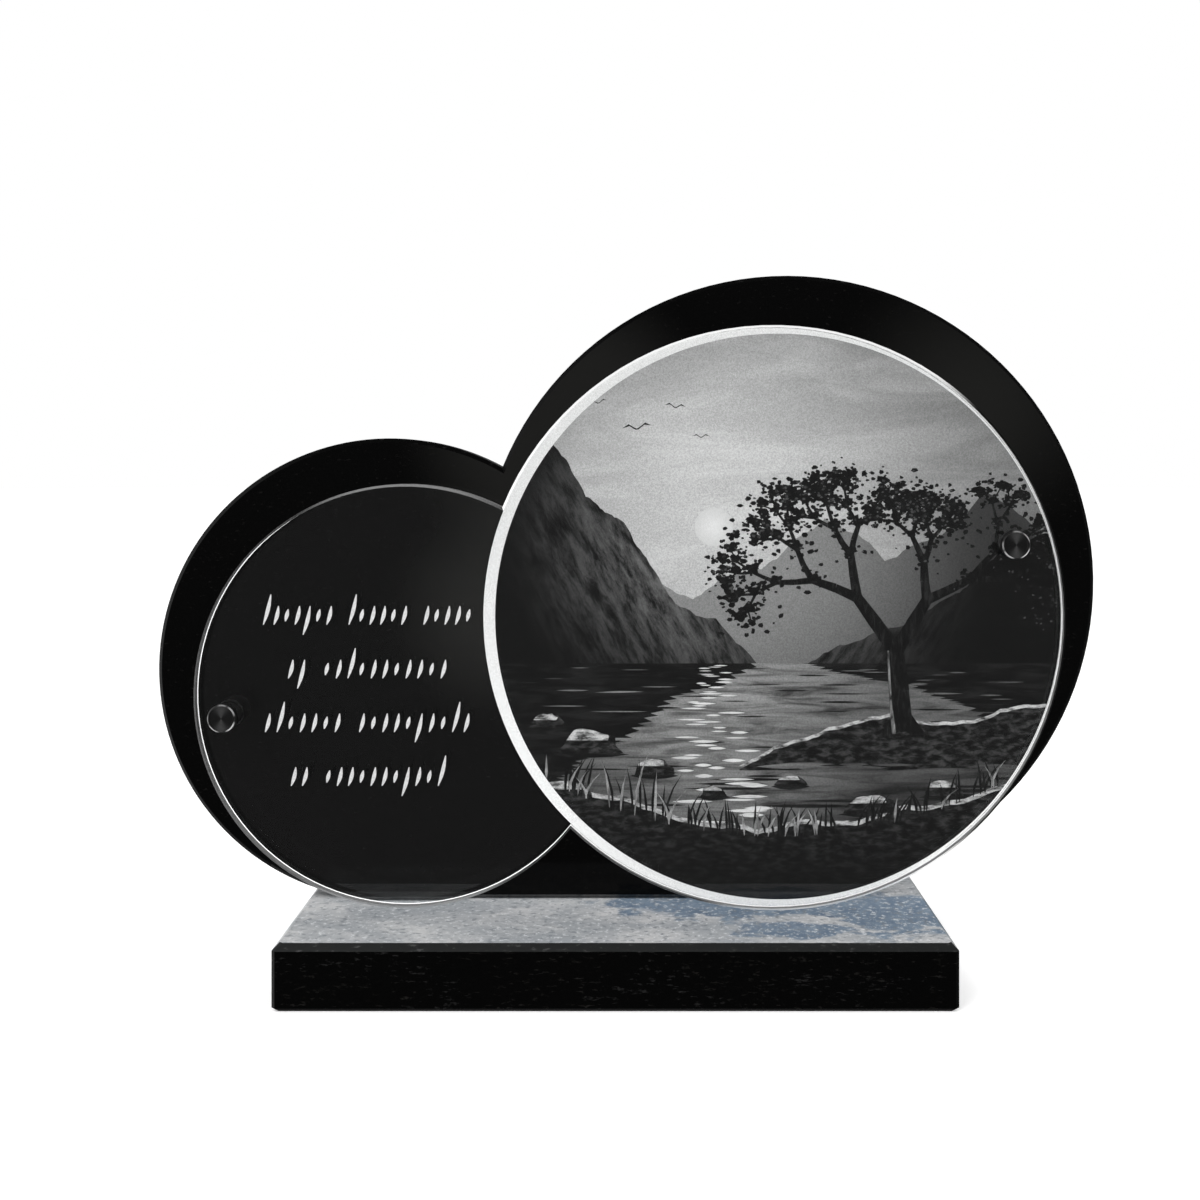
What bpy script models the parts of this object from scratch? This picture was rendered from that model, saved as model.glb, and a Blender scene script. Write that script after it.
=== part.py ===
"""Standing memorial plaque: a granite panel on a granite base, with a glass plate on two standoffs.

Run with blender --background --python part.py, or from Blender's text editor.
Lengths are metres. +X is right, +Y is away from the viewer and +Z is up.
The origin is the centre of the base's underside.
"""
import math

import bmesh
import bpy
from mathutils import Vector

# Base slab
BASE_WIDTH = 0.300
BASE_DEPTH = 0.150
BASE_HEIGHT = 0.0293
BASE_CHAMFER = 0.0029
BASE_ARRIS = 0.0016

# Upright panel: a small disc and a large disc, joined, on a short straight foot
PANEL_THICKNESS = 0.020
PANEL_CHAMFER = 0.0020
SMALL_DISC_RADIUS = 0.1113
SMALL_DISC_X = -0.1095
SMALL_DISC_SINK = 0.0012
LARGE_DISC_RADIUS = 0.1479
LARGE_DISC_X = 0.0819
LARGE_DISC_LIFT = 0.0040
FOOT_OVERHANG = 0.028

# Glass plate: two round lobes, each set in from the panel's disc behind it
GLASS_THICKNESS = 0.0100
GLASS_FRONT_ARRIS = 0.0011
GLASS_BACK_ARRIS = 0.0005
SMALL_LOBE_MARGIN = 0.0130
SMALL_LOBE_SHIFT = 0.0116
SMALL_LOBE_LIFT = 0.0034
LARGE_LOBE_MARGIN = 0.0121
LARGE_LOBE_SHIFT = -0.0090
LARGE_LOBE_LIFT = 0.0022

# Standoffs: where each one stands, measured from the edge and the middle of its lobe
LEFT_EDGE_DISTANCE = 0.0143
LEFT_ANGLE = math.radians(186.4)
RIGHT_EDGE_DISTANCE = 0.0198
RIGHT_ANGLE = math.radians(17.1)
CAP_DIAMETER = 0.0130
CAP_THICKNESS = 0.0048
CAP_EDGE = 0.0006
CAP_LIP = 0.0005
CAP_RECESS = 0.0003
STUD_DIAMETER = 0.0060
STUD_ENGAGEMENT = 0.0060
STUD_CHAMFER = 0.0005
BARREL_LENGTH = 0.0130
BARREL_EDGE = 0.0004
BORE_SPARE_DEPTH = 0.0010
GASKET_THICKNESS = 0.0010
GASKET_STEP = 0.0004

# Clearances
SEAT_GAP = 0.0003
STUD_CLEARANCE = 0.0003
GLASS_HOLE_CLEARANCE = 0.0006

# Inscription: rows of slanted pen strokes, cut into the front of the small lobe
GROOVE_DEPTH = 0.0004
INSCRIPTION_X = -0.0187
FIRST_BASELINE = 0.0332
ROW_PITCH = 0.0249
ROW_WIDTHS = (0.0939, 0.0707, 0.0921, 0.0681)
ROW_WORDS = ((7, 6, 5), (2, 11), (7, 10), (2, 11))
WORD_SPACE = 1.1
BODY_HEIGHT = 0.0086
TALL_HEIGHT = 0.0140
TAIL_DEPTH = 0.0047
DASH_HEIGHT = 0.0056
DASH_RISE = 0.0015
STROKE_SLANT = math.radians(14.0)
STROKE_BOW = 0.0004
STROKE_WIDTH = 0.0018
HAIRLINE_WIDTH = 0.0004

# Fineness of the round shapes
ARC_STEPS = 80
TURNED_STEPS = 36
STROKE_STEPS = 6
CUTTER_OVERRUN = 0.001

# Levels worked out from the sizes above
FOOT_LEVEL = BASE_HEIGHT + SEAT_GAP
PANEL_FRONT = -PANEL_THICKNESS / 2
GLASS_STANDOFF = SEAT_GAP + BARREL_LENGTH + SEAT_GAP + GASKET_THICKNESS + SEAT_GAP
GLASS_BACK = PANEL_FRONT - GLASS_STANDOFF
GLASS_FRONT = GLASS_BACK - GLASS_THICKNESS
SMALL_LOBE_RADIUS = SMALL_DISC_RADIUS - SMALL_LOBE_MARGIN
LARGE_LOBE_RADIUS = LARGE_DISC_RADIUS - LARGE_LOBE_MARGIN


class Disc:
    """A circle in the plane of the panel, by its centre (x, z) and its radius."""

    def __init__(self, x, z, radius):
        self.centre = Vector((x, z))
        self.radius = radius

    def inset(self, distance):
        return Disc(self.centre.x, self.centre.y, self.radius - distance)

    def point(self, angle):
        return self.centre + self.radius * Vector((math.cos(angle), math.sin(angle)))

    def angle_of(self, point):
        ray = point - self.centre
        return math.atan2(ray.y, ray.x)

    def arc(self, start, end):
        """Points of the arc that runs anticlockwise from one point to the other, both included."""
        first = self.angle_of(start)
        sweep = (self.angle_of(end) - first) % (2 * math.pi)
        return [self.point(first + sweep * step / ARC_STEPS) for step in range(ARC_STEPS + 1)]


SMALL_DISC = Disc(SMALL_DISC_X, FOOT_LEVEL + SMALL_DISC_RADIUS - SMALL_DISC_SINK, SMALL_DISC_RADIUS)
LARGE_DISC = Disc(LARGE_DISC_X, FOOT_LEVEL + LARGE_DISC_RADIUS + LARGE_DISC_LIFT, LARGE_DISC_RADIUS)
SMALL_LOBE = Disc(SMALL_DISC_X + SMALL_LOBE_SHIFT,
                  BASE_HEIGHT + SMALL_LOBE_LIFT + SMALL_LOBE_RADIUS, SMALL_LOBE_RADIUS)
LARGE_LOBE = Disc(LARGE_DISC_X + LARGE_LOBE_SHIFT,
                  BASE_HEIGHT + LARGE_LOBE_LIFT + LARGE_LOBE_RADIUS, LARGE_LOBE_RADIUS)


def remove_old_objects():
    for item in list(bpy.data.objects):
        bpy.data.objects.remove(item, do_unlink=True)


def make_material(name, colour, roughness, metallic=0.0, alpha=1.0):
    material = bpy.data.materials.new(name)
    material.use_nodes = True
    shader = material.node_tree.nodes["Principled BSDF"]
    shader.inputs["Base Color"].default_value = (*colour, 1.0)
    shader.inputs["Roughness"].default_value = roughness
    shader.inputs["Metallic"].default_value = metallic
    shader.inputs["Alpha"].default_value = alpha
    material.diffuse_color = (*colour, alpha)
    return material


def make_object(name, mesh_data, material=None):
    """Turn a finished bmesh into an object of the scene, with flat faces left sharp."""
    bmesh.ops.recalc_face_normals(mesh_data, faces=mesh_data.faces)
    mesh = bpy.data.meshes.new(name)
    mesh_data.to_mesh(mesh)
    mesh_data.free()
    mesh.shade_smooth()
    mesh.set_sharp_from_angle(angle=math.radians(30))
    item = bpy.data.objects.new(name, mesh)
    bpy.context.collection.objects.link(item)
    if material:
        mesh.materials.append(material)
    return item


def loft(mesh_data, rings):
    """Skin a closed solid through rings that all have the same number of points."""
    loops = [[mesh_data.verts.new(point) for point in ring] for ring in rings]
    count = len(loops[0])
    for near, far in zip(loops, loops[1:]):
        for index in range(count):
            after = (index + 1) % count
            mesh_data.faces.new((near[index], near[after], far[after], far[index]))
    mesh_data.faces.new(reversed(loops[0]))
    mesh_data.faces.new(loops[-1])


def rectangle(width, depth, corner, level):
    """A rectangle round the Z axis, with its corners cut off."""
    half_width = width / 2
    half_depth = depth / 2
    points = []
    for sign_x, sign_y in ((1, -1), (1, 1), (-1, 1), (-1, -1)):
        along_x = (sign_x * (half_width - corner), sign_y * half_depth, level)
        along_y = (sign_x * half_width, sign_y * (half_depth - corner), level)
        starts_on_x = sign_x != sign_y
        points += [along_x, along_y] if starts_on_x else [along_y, along_x]
    return points


def upright_rings(outline, front, back, front_chamfer, back_chamfer):
    """Rings of an upright slab whose front and back edges are chamfered."""
    levels = ((front, front_chamfer), (front + front_chamfer, 0.0),
              (back - back_chamfer, 0.0), (back, back_chamfer))
    return [[(point.x, depth, point.y) for point in outline(inset)] for depth, inset in levels]


def crossing(first, second, upper):
    """The upper or lower point where two circles cross."""
    between = second.centre - first.centre
    distance = between.length
    along = (first.radius ** 2 - second.radius ** 2 + distance ** 2) / (2 * distance)
    across = math.sqrt(first.radius ** 2 - along ** 2)
    direction = between / distance
    sideways = Vector((-direction.y, direction.x))
    side = 1 if upper else -1
    return first.centre + along * direction + side * across * sideways


def panel_outline(inset):
    """The two joined discs and the foot, set in evenly, anticlockwise from the foot's right end."""
    small = SMALL_DISC.inset(inset)
    large = LARGE_DISC.inset(inset)
    sole = FOOT_LEVEL + inset
    drop = small.centre.y - sole
    foot_left = Vector((small.centre.x - math.sqrt(small.radius ** 2 - drop ** 2), sole))
    end_x = large.centre.x + FOOT_OVERHANG - inset
    rise = math.sqrt(large.radius ** 2 - (end_x - large.centre.x) ** 2)
    foot_right_top = Vector((end_x, large.centre.y - rise))
    notch = crossing(small, large, upper=True)
    outline = [Vector((end_x, sole))]
    outline += large.arc(foot_right_top, notch)
    outline += small.arc(notch, foot_left)[1:]
    return outline


def glass_outline(inset):
    """The two joined lobes, set in evenly, anticlockwise from their lower crossing."""
    small = SMALL_LOBE.inset(inset)
    large = LARGE_LOBE.inset(inset)
    lower = crossing(small, large, upper=False)
    upper = crossing(small, large, upper=True)
    return large.arc(lower, upper)[:-1] + small.arc(upper, lower)[:-1]


def make_base(material):
    mesh_data = bmesh.new()
    levels = ((0.0, BASE_ARRIS), (BASE_ARRIS, 0.0), (BASE_HEIGHT - BASE_CHAMFER, 0.0),
              (BASE_HEIGHT, BASE_CHAMFER))
    loft(mesh_data, [rectangle(BASE_WIDTH - 2 * inset, BASE_DEPTH - 2 * inset, BASE_ARRIS, level)
                     for level, inset in levels])
    return make_object("base", mesh_data, material)


def make_panel(material):
    mesh_data = bmesh.new()
    loft(mesh_data, upright_rings(panel_outline, PANEL_FRONT, PANEL_THICKNESS / 2,
                                  PANEL_CHAMFER, PANEL_CHAMFER))
    return make_object("panel", mesh_data, material)


def turned(name, profile, steps, material=None, closed=False):
    """Spin a profile of (radius, y) points round the Y axis."""
    mesh_data = bmesh.new()
    corners = [mesh_data.verts.new((radius, depth, 0.0)) for radius, depth in profile]
    followers = corners[1:] + (corners[:1] if closed else [])
    edges = [mesh_data.edges.new(pair) for pair in zip(corners, followers)]
    bmesh.ops.spin(mesh_data, geom=corners + edges, cent=(0, 0, 0), axis=(0, 1, 0),
                   angle=2 * math.pi, steps=steps, use_merge=True)
    bmesh.ops.remove_doubles(mesh_data, verts=mesh_data.verts, dist=1e-6)
    return make_object(name, mesh_data, material)


def mark_as_cutter(item):
    item.hide_render = True
    item.display_type = "WIRE"


def cut(item, cutter):
    difference = item.modifiers.new(cutter.name, "BOOLEAN")
    difference.operation = "DIFFERENCE"
    difference.solver = "EXACT"
    difference.object = cutter


def stroke_outline(foot, height, bow):
    """One pen stroke: a slanted line that bows, thick in the middle and thin at its ends."""
    lean = Vector((math.sin(STROKE_SLANT), math.cos(STROKE_SLANT)))
    across = Vector((lean.y, -lean.x))
    length = height / lean.y
    right_side = []
    left_side = []
    for step in range(STROKE_STEPS + 1):
        share = step / STROKE_STEPS
        swell = math.sin(math.pi * share)
        half_width = (HAIRLINE_WIDTH + (STROKE_WIDTH - HAIRLINE_WIDTH) * swell) / 2
        middle = foot + length * share * lean + bow * swell * across
        right_side.append(middle + half_width * across)
        left_side.append(middle - half_width * across)
    return right_side + left_side[::-1]


def stroke_form(place, row):
    """The foot, height and bow of a stroke, in a rhythm that spells nothing."""
    if place % 3 == 2:
        return DASH_RISE, DASH_HEIGHT, 0.0
    beat = (3 * place + 2 * row) % 7
    foot = -TAIL_DEPTH if beat == 5 else 0.0
    top = TALL_HEIGHT if beat == 0 else BODY_HEIGHT
    return foot, top - foot, STROKE_BOW


def inscription_outlines():
    """Every stroke of the inscription, row by row and word by word, round the middle of the rows."""
    outlines = []
    for row, (width, words) in enumerate(zip(ROW_WIDTHS, ROW_WORDS)):
        strokes = sum(words)
        pitch = width / (strokes - 1 + WORD_SPACE * (len(words) - 1))
        baseline = SMALL_LOBE.centre.y + FIRST_BASELINE - ROW_PITCH * row
        x = SMALL_LOBE.centre.x + INSCRIPTION_X - width / 2
        place = 0
        for word in words:
            for _ in range(word):
                foot, height, bow = stroke_form(place, row)
                start = Vector((x + foot * math.tan(STROKE_SLANT), baseline + foot))
                outlines.append(stroke_outline(start, height, bow))
                x += pitch
                place += 1
            x += WORD_SPACE * pitch
    return outlines


def make_inscription_cutter():
    mesh_data = bmesh.new()
    front = GLASS_FRONT - CUTTER_OVERRUN
    floor = GLASS_FRONT + GROOVE_DEPTH
    for outline in inscription_outlines():
        loft(mesh_data, [[(point.x, depth, point.y) for point in outline] for depth in (front, floor)])
    cutter = make_object("inscription_cutter", mesh_data)
    mark_as_cutter(cutter)
    return cutter


def standoff_places():
    """The name and the place (x, z) of each standoff."""
    left = SMALL_LOBE.inset(LEFT_EDGE_DISTANCE).point(LEFT_ANGLE)
    right = LARGE_LOBE.inset(RIGHT_EDGE_DISTANCE).point(RIGHT_ANGLE)
    return (("left", left), ("right", right))


def make_glass(material):
    mesh_data = bmesh.new()
    loft(mesh_data, upright_rings(glass_outline, GLASS_FRONT, GLASS_BACK,
                                  GLASS_FRONT_ARRIS, GLASS_BACK_ARRIS))
    plate = make_object("glass_plate", mesh_data, material)
    hole_radius = STUD_DIAMETER / 2 + GLASS_HOLE_CLEARANCE
    ends = (GLASS_FRONT - CUTTER_OVERRUN, GLASS_BACK + CUTTER_OVERRUN)
    profile = [(0.0, ends[0]), (hole_radius, ends[0]), (hole_radius, ends[1]), (0.0, ends[1])]
    for side, place in standoff_places():
        cutter = turned("hole_cutter_" + side, profile, TURNED_STEPS)
        cutter.location = (place.x, 0.0, place.y)
        mark_as_cutter(cutter)
        cut(plate, cutter)
    cut(plate, make_inscription_cutter())
    return plate


def cap_profile(back):
    """A flat cap with a raised lip and a stud behind, by (radius, y), from the middle of its face."""
    radius = CAP_DIAMETER / 2
    front = back - CAP_THICKNESS
    stud = STUD_DIAMETER / 2
    stud_end = GLASS_BACK + SEAT_GAP + GASKET_THICKNESS + SEAT_GAP + STUD_ENGAGEMENT
    return [(0.0, front + CAP_RECESS), (radius - CAP_EDGE - CAP_LIP - CAP_RECESS, front + CAP_RECESS),
            (radius - CAP_EDGE - CAP_LIP, front), (radius - CAP_EDGE, front), (radius, front + CAP_EDGE),
            (radius, back), (stud, back), (stud, stud_end - STUD_CHAMFER),
            (stud - STUD_CHAMFER, stud_end), (0.0, stud_end)]


def barrel_profile(front, back):
    """A spacer with a blind bore for the stud, by (radius, y), from the bore's mouth outwards."""
    radius = CAP_DIAMETER / 2
    bore = STUD_DIAMETER / 2 + STUD_CLEARANCE
    floor = front + STUD_ENGAGEMENT + BORE_SPARE_DEPTH
    return [(0.0, floor), (bore, floor), (bore, front), (radius - BARREL_EDGE, front),
            (radius, front + BARREL_EDGE), (radius, back - BARREL_EDGE), (radius - BARREL_EDGE, back),
            (0.0, back)]


def gasket_profile(front):
    """A plain flat ring, by (radius, y)."""
    outer = CAP_DIAMETER / 2 - GASKET_STEP
    inner = STUD_DIAMETER / 2 + STUD_CLEARANCE
    back = front + GASKET_THICKNESS
    return [(inner, front), (outer, front), (outer, back), (inner, back)]


def make_standoff(side, place, metal, seal):
    """The cap, the barrel and the two gaskets of one standoff, on an empty at its axis."""
    axis = bpy.data.objects.new("standoff_" + side, None)
    axis.location = (place.x, 0.0, place.y)
    bpy.context.collection.objects.link(axis)
    front_gasket = GLASS_FRONT - SEAT_GAP - GASKET_THICKNESS
    rear_gasket = GLASS_BACK + SEAT_GAP
    barrel_front = rear_gasket + GASKET_THICKNESS + SEAT_GAP
    barrel_back = barrel_front + BARREL_LENGTH
    pieces = [
        turned("cap_" + side, cap_profile(front_gasket - SEAT_GAP), TURNED_STEPS, metal),
        turned("barrel_" + side, barrel_profile(barrel_front, barrel_back), TURNED_STEPS, metal),
        turned("gasket_front_" + side, gasket_profile(front_gasket), TURNED_STEPS, seal, closed=True),
        turned("gasket_rear_" + side, gasket_profile(rear_gasket), TURNED_STEPS, seal, closed=True),
    ]
    for piece in pieces:
        piece.parent = axis


def main():
    remove_old_objects()
    granite = make_material("black_granite", (0.010, 0.010, 0.011), 0.08)
    glass = make_material("clear_glass", (0.90, 0.94, 0.93), 0.02, alpha=0.35)
    metal = make_material("black_metal", (0.030, 0.030, 0.032), 0.30, metallic=1.0)
    seal = make_material("black_seal", (0.012, 0.012, 0.012), 0.70)
    make_base(granite)
    make_panel(granite)
    make_glass(glass)
    for side, place in standoff_places():
        make_standoff(side, place, metal, seal)


main()
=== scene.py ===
# The looks of the standing memorial plaque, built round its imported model
import math
import random

import bmesh
import bpy
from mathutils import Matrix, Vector
from mathutils.geometry import delaunay_2d_cdt


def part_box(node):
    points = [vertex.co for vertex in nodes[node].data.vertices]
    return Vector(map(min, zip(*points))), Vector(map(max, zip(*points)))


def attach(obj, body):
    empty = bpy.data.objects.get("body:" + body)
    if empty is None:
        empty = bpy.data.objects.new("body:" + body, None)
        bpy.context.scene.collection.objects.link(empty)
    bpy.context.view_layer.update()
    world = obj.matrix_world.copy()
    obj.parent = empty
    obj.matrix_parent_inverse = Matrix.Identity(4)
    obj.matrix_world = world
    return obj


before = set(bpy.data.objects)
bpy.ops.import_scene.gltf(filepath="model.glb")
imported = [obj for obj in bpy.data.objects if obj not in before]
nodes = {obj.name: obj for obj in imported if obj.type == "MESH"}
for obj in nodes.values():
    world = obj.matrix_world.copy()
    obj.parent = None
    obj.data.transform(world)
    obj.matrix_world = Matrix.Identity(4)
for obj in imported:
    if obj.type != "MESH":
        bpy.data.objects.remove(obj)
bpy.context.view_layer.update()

MM = 0.001

# Camera, from the vanishing point of the base
CAMERA_PLACE = (0.0068, -0.692, 0.2386)
SENSOR_WIDTH = 36.0
LENS = 42.55
SHIFT_X = -0.0258
SHIFT_Y = -0.1133

# Studio: lights by name, place, width and energy, the walls as glossy faces see them, with the bright
# one on the left between two shares of the way across, and the floor
LIGHTS = (("key", (-1.1, -1.5, 1.7), 1.2, 22.0), ("fill", (1.6, -1.2, 1.2), 1.4, 8.0))
LIGHT_AIM = Vector((0.0, 0.0, 0.12))
DIM_WALLS = 0.09
BRIGHT_WALL = 0.8
WALL_START = -0.45
WALL_FULL = -0.95
FLOOR_RADIUS = 14.0
FLOOR_GLOW = 0.30

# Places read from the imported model
glass_low, glass_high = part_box("glass_plate")
PANEL_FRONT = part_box("panel")[0].y
LOBE_RADIUS = (glass_high.z - glass_low.z) / 2
LOBE_X = glass_high.x - LOBE_RADIUS
LOBE_Z = (glass_high.z + glass_low.z) / 2
GLASS_FRONT = glass_low.y
GLASS_BACK = glass_high.y

# The small lobe: its radius, its middle, and the circle that the inscription stays in
SMALL_RADIUS = 0.0983
SMALL_X = glass_low.x + SMALL_RADIUS
SMALL_Z = 0.1310
INSCRIPTION_REACH = 0.090

# How faces are told apart, by how far they look along an axis: a flat face by more than FLAT, the
# panel's lower chamfer by more than SLANT, any bevel by more than BEVEL, a cap's face and rim by more
# than FORWARD, and the wall of a hole by less than UPRIGHT. The rest are distances on the glass: the
# walls of a hole from its axis, the floor of a stroke below the front, and bevels and walls from the
# large lobe's outline.
FLAT = 0.9
SLANT = 0.6
UPRIGHT = 0.5
BEVEL = 0.3
FORWARD = 0.2
HOLE_REACH = 0.0045
STROKE_SINK = 0.0001
BEVEL_REACH = 0.001
WALL_REACH = 0.002

# Caps: how far behind its front a cap's face reaches, the width of its bevelled rim, and its turning
# marks in radians for each metre
CAP_FACE_DEPTH = 0.0012
CAP_RIM_WIDTH = 0.0005
CAP_TURNING = 24000.0

# Smooth shading: points closer than this are welded, and sharper folds stay sharp
WELD_REACH = 1e-6
SHARP_ANGLE = math.radians(30)

# The white line behind the small lobe: how far before the back face it starts and is full, and its glow
LINE_START = 0.00040
LINE_FULL = 0.00032
LINE_GLOW = 0.3

# Arcs of light on a cap's rim: direction in degrees, cosine at which the arc ends, strength
RIM_ARCS = ((86, 0.92, 0.24), (36, 0.87, 0.34), (184, 0.92, 0.22), (233, 0.85, 0.52), (318, 0.84, 0.74))

# Painted sheen on the panel: middle (x, z), the radius it is even to, the radius it ends at, strength
PANEL_SHEENS = ((-0.027, 0.256, 0.034, 0.082, 0.70), (0.172, 0.269, 0.004, 0.078, 0.72),
                (-0.056, 0.168, 0.010, 0.060, 1.00))

# Patches of a painted reflection of blue sky on the base's top: middle (x, y) and half sizes
BLUE_SKY_REFLECTIONS = ((0.052, -0.020, 0.066, 0.017), (0.082, -0.054, 0.032, 0.011),
                (0.132, -0.030, 0.034, 0.030))

# The base's top is painted lighter beside the panel, as painted light against the shade the panel casts:
# full to this far from the middle, gone by this far, factor
PAINTED_LIGHT_FULL = 0.014
PAINTED_LIGHT_END = 0.045
PAINTED_LIGHT_FACTOR = 1.16

# The film with the picture and its white ring, on the back of the large lobe
FILM_MARGIN = 0.0006
FILM_GAP = 0.0001
FILM_THICKNESS = 0.0002
RING_WIDTH = 0.0034
RING_OFFSET = 0.0027
DISC_STEPS = 180
SAME_POINT = 1e-5
PICTURE_RADIUS = LOBE_RADIUS - RING_WIDTH
PICTURE_X = LOBE_X + RING_OFFSET

# The two greys of the ring's grain at its foot and near its top, and the level of the whole print
RING_LOW = (216, 242)
RING_HIGH = (182, 208)
PRINT_LEVEL = 0.68

# Motifs of the picture, in millimetres from its middle
SUN = Vector((-30.0, 42.0))
SUN_RADIUS = 9.0
SHORE = -22.0
FAR_PEAKS = ((-140, 22), (-104, 40), (-72, 20), (-40, 8), (-8, 22), (22, 46), (50, 26), (96, 58), (140, 30))
LEFT_PEAKS = ((-140, 52), (-108, 84), (-90, 56), (-72, 44), (-48, 6), (-10, SHORE))
RIGHT_PEAKS = ((14, SHORE), (44, -8), (78, 8), (106, 34), (140, 44))
BANK_PEAKS = ((-140, -76), (-96, -84), (-52, -94), (-10, -102), (36, -98), (84, -88), (140, -72))
SPIT_PEAKS = ((-18, -71.5), (14, -58), (52, -47), (92, -50), (140, -40))
TREE_FOOT = Vector((58.0, -54.0))
TREE_LEAN = math.radians(-4.0)
TRUNK_LENGTH = 38.0
TRUNK_WIDTH = 11.0
TREE_FORKS = 6
LEAVES_PER_TIP = 14
LIT_SHARE = 0.3
MIRROR_SHARE = 0.55
MIRROR_STEP = 2.6
FRACTURES = 4
GRASS_REACH = (-112, 104)
REEDS_X = -70
REEDS_REACH = 30
REEDS_RISE = 26
# Stones: x, z, width and height. The first few stand in the water, and the others on the bank.
STONES = ((-88, -64, 30, 12), (-58, -74, 19, 8), (-108, -52, 16, 7), (-30, -84, 13, 5), (6, -79, 15, 5),
          (-100, -86, 30, 10), (44, -92, 26, 9), (78, -84, 20, 8))
WET_STONES = 5
# Gulls: x, z, half span and tilt
GULLS = ((-66, 88, 7, 0.1), (-48, 98, 5, -0.1), (-84, 100, 4, 0.2), (-36, 84, 4, 0.0))


def linear(grey):
    """A grey of a picture file, from 0 to 255, as the light it stands for."""
    value = grey / 255
    return value / 12.92 if value <= 0.04045 else ((value + 0.055) / 1.055) ** 2.4


def colour(*channels):
    """A colour from one grey or three channels, each from 0 to 255."""
    levels = channels * 3 if len(channels) == 1 else channels
    return (*[linear(level) for level in levels], 1.0)


class Finish:
    """A procedural material, built one node at a time round its Principled shader."""

    def __init__(self, name, roughness, specular=0.5, metallic=0.0):
        self.material = bpy.data.materials.new(name)
        self.material.use_nodes = True
        self.tree = self.material.node_tree
        self.shader = self.tree.nodes["Principled BSDF"]
        self.shader.inputs["Roughness"].default_value = roughness
        self.shader.inputs["Specular IOR Level"].default_value = specular
        self.shader.inputs["Metallic"].default_value = metallic
        self.place = self.tree.nodes.new("ShaderNodeTexCoord").outputs["Object"]

    def feed(self, socket, value):
        """Link a socket, or set its plain value."""
        if isinstance(value, bpy.types.NodeSocket):
            self.tree.links.new(value, socket)
        else:
            socket.default_value = value

    def mapped(self, scale, shift=(0.0, 0.0, 0.0)):
        """The place on the object, scaled along each axis and then shifted."""
        node = self.tree.nodes.new("ShaderNodeMapping")
        self.tree.links.new(self.place, node.inputs["Vector"])
        node.inputs["Scale"].default_value = scale
        node.inputs["Location"].default_value = shift
        return node.outputs["Vector"]

    def slanted(self, turn, scale):
        """The place turned in the upright plane of the picture, then scaled."""
        node = self.tree.nodes.new("ShaderNodeMapping")
        self.tree.links.new(self.place, node.inputs["Vector"])
        node.inputs["Rotation"].default_value = (0.0, turn, 0.0)
        second = self.tree.nodes.new("ShaderNodeMapping")
        self.tree.links.new(node.outputs["Vector"], second.inputs["Vector"])
        second.inputs["Scale"].default_value = scale
        return second.outputs["Vector"]

    def noise(self, vector, scale, detail=2.0, roughness=0.5, distortion=0.0):
        """A cloudy pattern with values round one half."""
        node = self.tree.nodes.new("ShaderNodeTexNoise")
        self.tree.links.new(vector, node.inputs["Vector"])
        node.inputs["Scale"].default_value = scale
        node.inputs["Detail"].default_value = detail
        node.inputs["Roughness"].default_value = roughness
        node.inputs["Distortion"].default_value = distortion
        return node.outputs["Fac"]

    def maths(self, operation, first, second=0.0):
        """One step of arithmetic on two values."""
        node = self.tree.nodes.new("ShaderNodeMath")
        node.operation = operation
        self.feed(node.inputs[0], first)
        self.feed(node.inputs[1], second)
        return node.outputs["Value"]

    def span(self, value, low, high, out_low=0.0, out_high=1.0):
        """A smooth step from one value to another, as the input runs from low to high."""
        node = self.tree.nodes.new("ShaderNodeMapRange")
        node.interpolation_type = "SMOOTHSTEP"
        self.feed(node.inputs["Value"], value)
        node.inputs["From Min"].default_value = low
        node.inputs["From Max"].default_value = high
        node.inputs["To Min"].default_value = out_low
        node.inputs["To Max"].default_value = out_high
        return node.outputs["Result"]

    def mix(self, factor, first, second, blend="MIX"):
        """Two colours mixed by a factor."""
        node = self.tree.nodes.new("ShaderNodeMix")
        node.data_type = "RGBA"
        node.blend_type = blend
        self.feed(node.inputs[0], factor)
        self.feed(node.inputs[6], first)
        self.feed(node.inputs[7], second)
        return node.outputs[2]

    def axis(self, name):
        """One coordinate of the place on the object."""
        node = self.tree.nodes.new("ShaderNodeSeparateXYZ")
        self.tree.links.new(self.place, node.inputs[0])
        return node.outputs[name]

    def distance_to(self, point):
        """How far the place is from a point."""
        node = self.tree.nodes.new("ShaderNodeVectorMath")
        node.operation = "DISTANCE"
        self.tree.links.new(self.place, node.inputs[0])
        node.inputs[1].default_value = point
        return node.outputs["Value"]

    def length_of(self, vector):
        """The length of a vector."""
        node = self.tree.nodes.new("ShaderNodeVectorMath")
        node.operation = "LENGTH"
        self.tree.links.new(vector, node.inputs[0])
        return node.outputs["Value"]

    def facing(self, direction):
        """How far the surface faces a direction: 1 straight at it, -1 straight away."""
        coordinates = self.tree.nodes.new("ShaderNodeTexCoord")
        node = self.tree.nodes.new("ShaderNodeVectorMath")
        node.operation = "DOT_PRODUCT"
        self.tree.links.new(coordinates.outputs["Normal"], node.inputs[0])
        node.inputs[1].default_value = direction
        return node.outputs["Value"]

    def paint(self, value):
        """Set the colour of the surface."""
        self.feed(self.shader.inputs["Base Color"], value)

    def rough(self, value):
        """Set the roughness of the surface."""
        self.feed(self.shader.inputs["Roughness"], value)

    def bump(self, height, distance, strength=1.0):
        """Raise the surface a little by a pattern."""
        node = self.tree.nodes.new("ShaderNodeBump")
        node.inputs["Strength"].default_value = strength
        node.inputs["Distance"].default_value = distance
        self.tree.links.new(height, node.inputs["Height"])
        self.tree.links.new(node.outputs["Normal"], self.shader.inputs["Normal"])

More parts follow.
